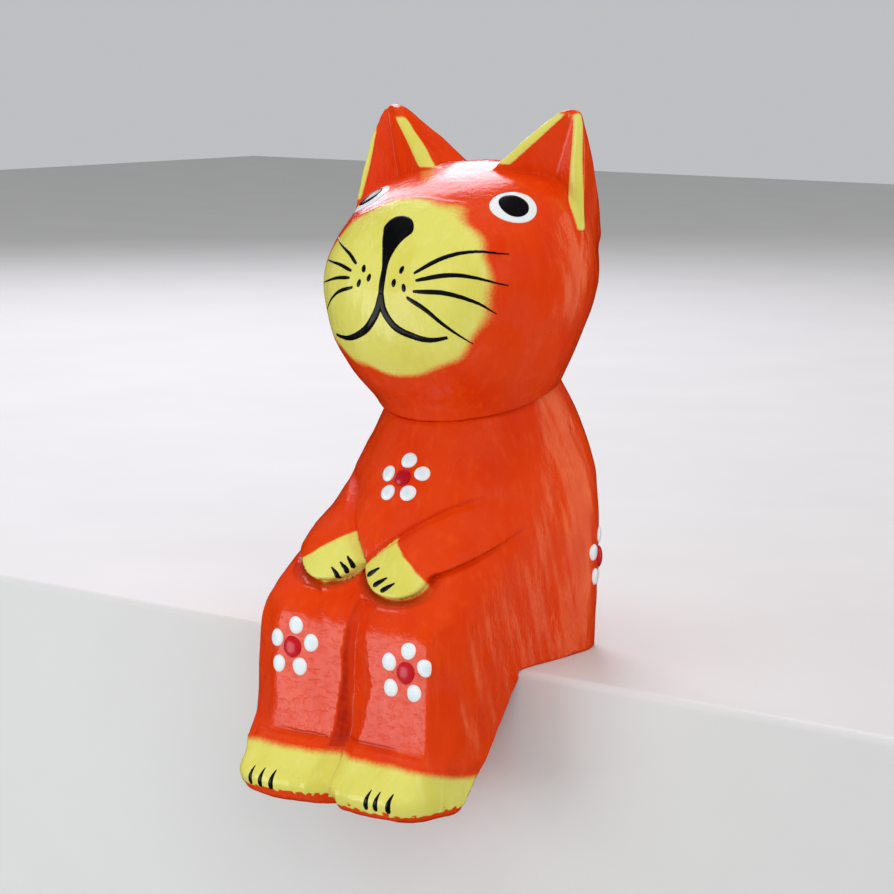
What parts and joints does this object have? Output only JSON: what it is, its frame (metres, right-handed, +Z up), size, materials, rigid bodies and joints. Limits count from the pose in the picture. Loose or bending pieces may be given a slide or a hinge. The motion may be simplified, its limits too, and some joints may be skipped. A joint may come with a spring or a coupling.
{
  "type": "carved cat shelf sitter",
  "caption": "Carved and painted wooden cat figure that sits on a shelf edge, with its legs hanging over and a square notch under the seat.",
  "frame": {"origin": "centre of the flat seat face, which rests on the shelf", "axes": "+Z up, the cat looks along -Y, its left side is +X"},
  "size_m": [0.0496, 0.0648, 0.1251],
  "materials": {
    "orange_enamel": "light wood under glossy hand-brushed orange-red enamel",
    "yellow_enamel": "glossy airbrushed yellow enamel with soft edges",
    "white_enamel": "raised glossy white enamel dots",
    "red_enamel": "raised glossy crimson enamel dots",
    "black_enamel": "glossy black enamel brush strokes",
    "dowel_wood": "plain hardwood dowel"
  },
  "bodies": {
    "root": {"body": "orange_enamel", "head": "orange_enamel", "neck_dowel": "dowel_wood", "muzzle_paint": "yellow_enamel", "eye_white_left": "white_enamel", "eye_white_right": "white_enamel", "pupil_left": "black_enamel", "pupil_right": "black_enamel", "nose_and_mouth": "black_enamel", "whiskers_left": "black_enamel", "whiskers_right": "black_enamel", "whisker_spots": "black_enamel", "ear_stripes_left": "yellow_enamel", "ear_stripes_right": "yellow_enamel", "paw_paint_left": "yellow_enamel", "paw_paint_right": "yellow_enamel", "claw_strokes_left": "black_enamel", "claw_strokes_right": "black_enamel", "foot_paint_left": "yellow_enamel", "foot_paint_right": "yellow_enamel", "toe_strokes_left": "black_enamel", "toe_strokes_right": "black_enamel", "chest_petals": "white_enamel", "chest_centre": "red_enamel", "knee_petals_left": "white_enamel", "knee_petals_right": "white_enamel", "knee_centre_left": "red_enamel", "knee_centre_right": "red_enamel", "back_petals_left": "white_enamel", "back_petals_right": "white_enamel", "back_centre_left": "red_enamel", "back_centre_right": "red_enamel"}
  },
  "joints": []
}
